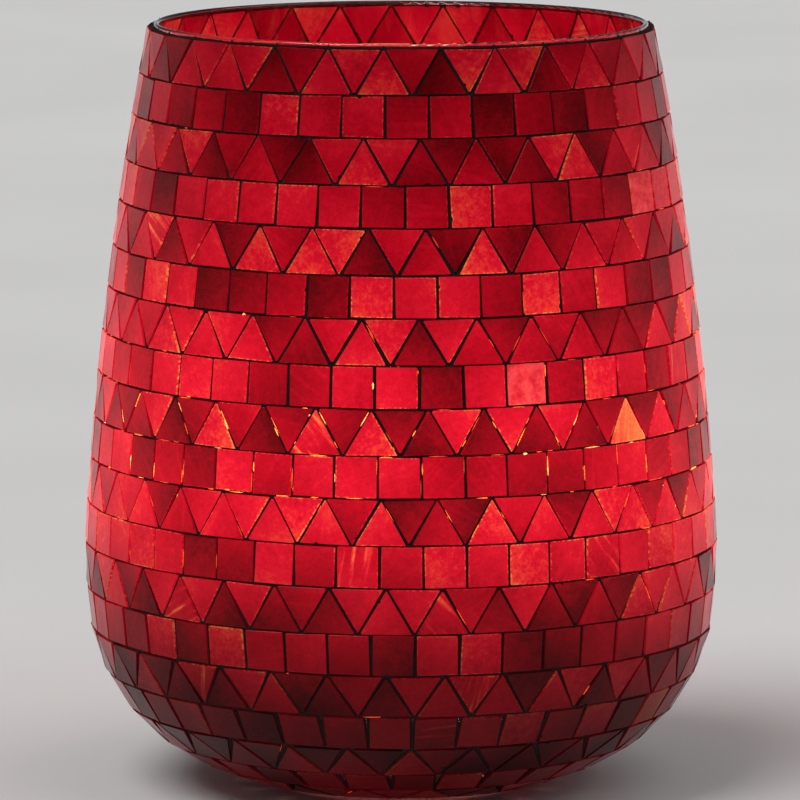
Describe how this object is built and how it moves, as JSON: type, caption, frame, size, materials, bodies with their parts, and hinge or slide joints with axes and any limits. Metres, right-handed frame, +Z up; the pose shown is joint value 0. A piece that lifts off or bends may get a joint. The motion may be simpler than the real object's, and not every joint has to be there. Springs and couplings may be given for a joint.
{
  "type": "mosaic glass table lamp",
  "caption": "Tall open-topped glass vase covered in rows of red glass triangles and squares, lit from inside by a bulb in a lampholder.",
  "frame": {"origin": "centre of the felt ring's underside, on the table, on the vase's axis", "axes": "+Z up along the axis, -Y towards the front, the cord inlet low at the back on +Y"},
  "size_m": [0.2352, 0.2352, 0.2836],
  "materials": {
    "clear_glass": "clear blown glass, polished",
    "mosaic_glass": "streaky ruby art glass, smooth cut tiles",
    "grout": "black grout over adhesive, rough",
    "rubber": "moulded, matt",
    "felt": "pressed wool felt",
    "zinc_steel": "zinc plated",
    "black_thermoset": "moulded phenolic, semi-gloss",
    "porcelain": "unglazed electrical porcelain",
    "brass": "pressed sheet and turned screws",
    "nickel_brass": "nickel-plated brass sheet",
    "solder": "tinned",
    "black_glass": "vitrite, glossy",
    "circuit_board": "glass-epoxy board",
    "white_plastic": "moulded polycarbonate, satin",
    "frosted_dome": "frosted, glowing warm white",
    "aluminium": "bare sheet",
    "led_phosphor": "yellow phosphor, glowing"
  },
  "bodies": {
    "lamp": {"adhesive_bed": "grout", "cap_locking_screw": "zinc_steel", "centre_contact": "brass", "contact_carrier": "porcelain", "cord_grommet": "rubber", "felt_ring": "felt", "glass_vessel": "clear_glass", "hex_nut_lower": "zinc_steel", "hex_nut_upper": "zinc_steel", "lampholder_cap": "black_thermoset", "lampholder_skirt": "black_thermoset", "rim_grout": "grout", "rubber_washer_lower": "rubber", "rubber_washer_upper": "rubber", "screw_shell": "brass", "side_contact": "brass", "spacer_tube": "zinc_steel", "spread_washer": "zinc_steel", "square_row_01": "mosaic_glass", "square_row_02": "mosaic_glass", "square_row_03": "mosaic_glass", "square_row_04": "mosaic_glass", "square_row_05": "mosaic_glass", "square_row_06": "mosaic_glass", "square_row_07": "mosaic_glass", "square_row_08": "mosaic_glass", "square_row_09": "mosaic_glass", "square_row_10": "mosaic_glass", "steel_washer_lower": "zinc_steel", "terminal_screws": "brass", "threaded_tube": "zinc_steel", "triangle_row_01": "mosaic_glass", "triangle_row_02": "mosaic_glass", "triangle_row_03": "mosaic_glass", "triangle_row_04": "mosaic_glass", "triangle_row_05": "mosaic_glass", "triangle_row_06": "mosaic_glass", "triangle_row_07": "mosaic_glass", "triangle_row_08": "mosaic_glass", "triangle_row_09": "mosaic_glass", "triangle_row_10": "mosaic_glass"},
    "bulb": {"bulb_body": "white_plastic", "bulb_contact": "solder", "bulb_dome": "frosted_dome", "bulb_driver_board": "circuit_board", "bulb_insulator": "black_glass", "bulb_led_board": "aluminium", "bulb_leds": "led_phosphor", "bulb_screw_cap": "nickel_brass"}
  },
  "joints": [
    {"name": "bulb_lift", "type": "slide", "parent": "lamp", "child": "bulb", "axis": [0, 0, 1], "range_m": [0, 0.235]}
  ]
}
